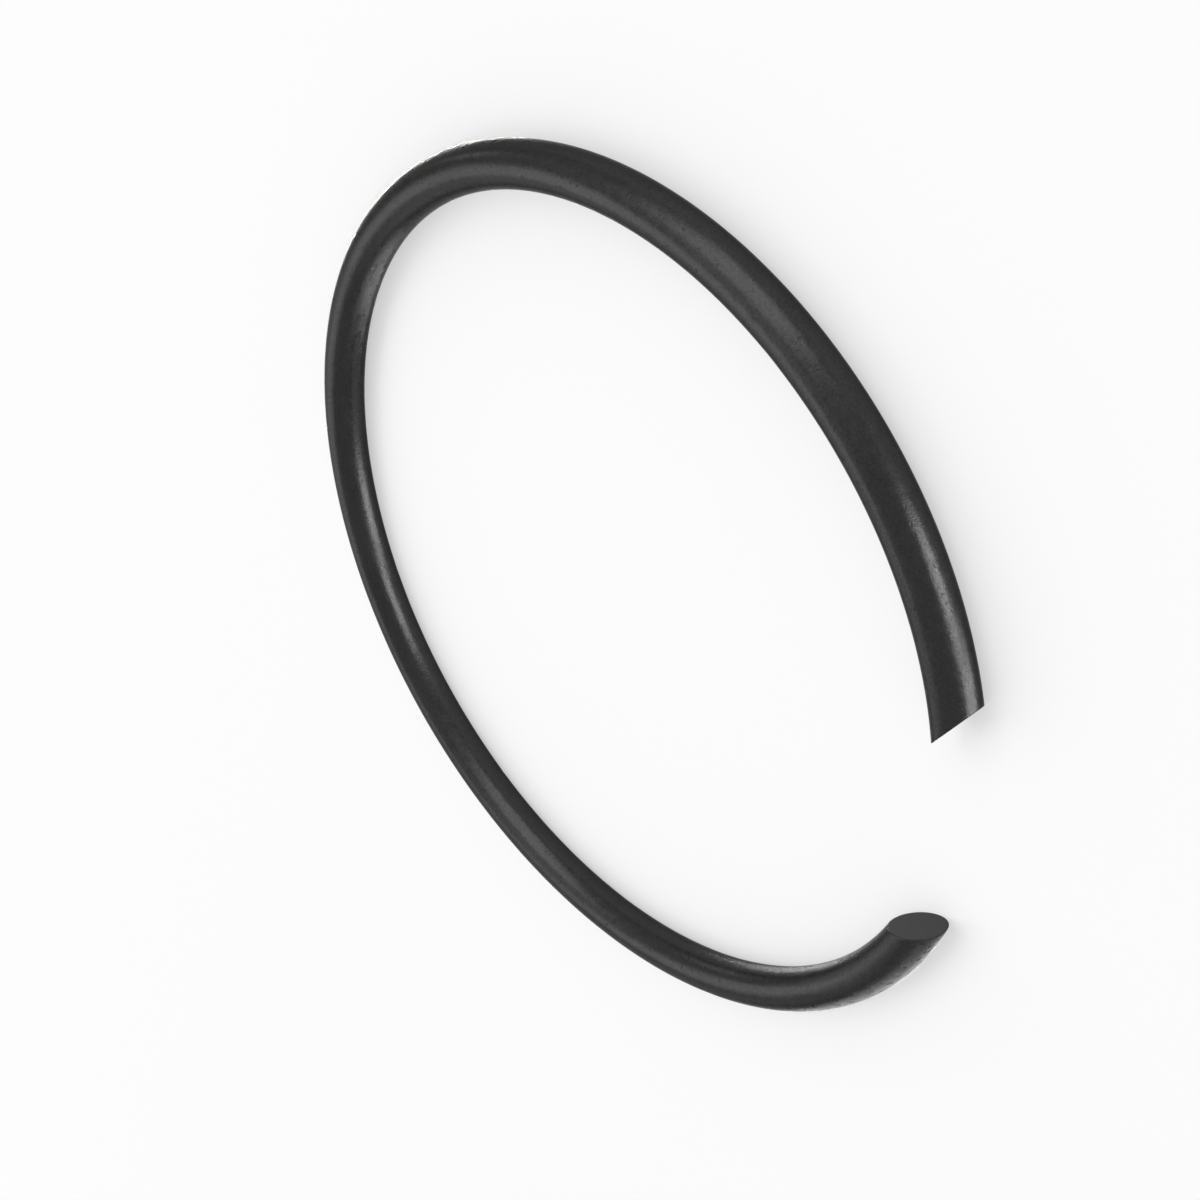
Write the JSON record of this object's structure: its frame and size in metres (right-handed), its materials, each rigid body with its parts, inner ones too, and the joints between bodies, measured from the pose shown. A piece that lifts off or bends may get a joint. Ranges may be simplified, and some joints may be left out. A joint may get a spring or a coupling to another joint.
{
  "type": "round wire retaining ring",
  "caption": "Open ring of round spring steel wire with slanting sheared ends, which springs out into a groove in a bore and holds a part in place.",
  "frame": {"origin": "centre of the ring, on the middle plane of the wire", "axes": "+Z along the ring's axis, +X from the centre to the middle of the gap; the ring lies flat and meets the surface below it at z = -1 mm"},
  "size_m": [0.0405, 0.041, 0.002],
  "materials": {
    "spring_steel": "satin"
  },
  "bodies": {
    "root": {"retaining_ring": "spring_steel"}
  },
  "joints": []
}
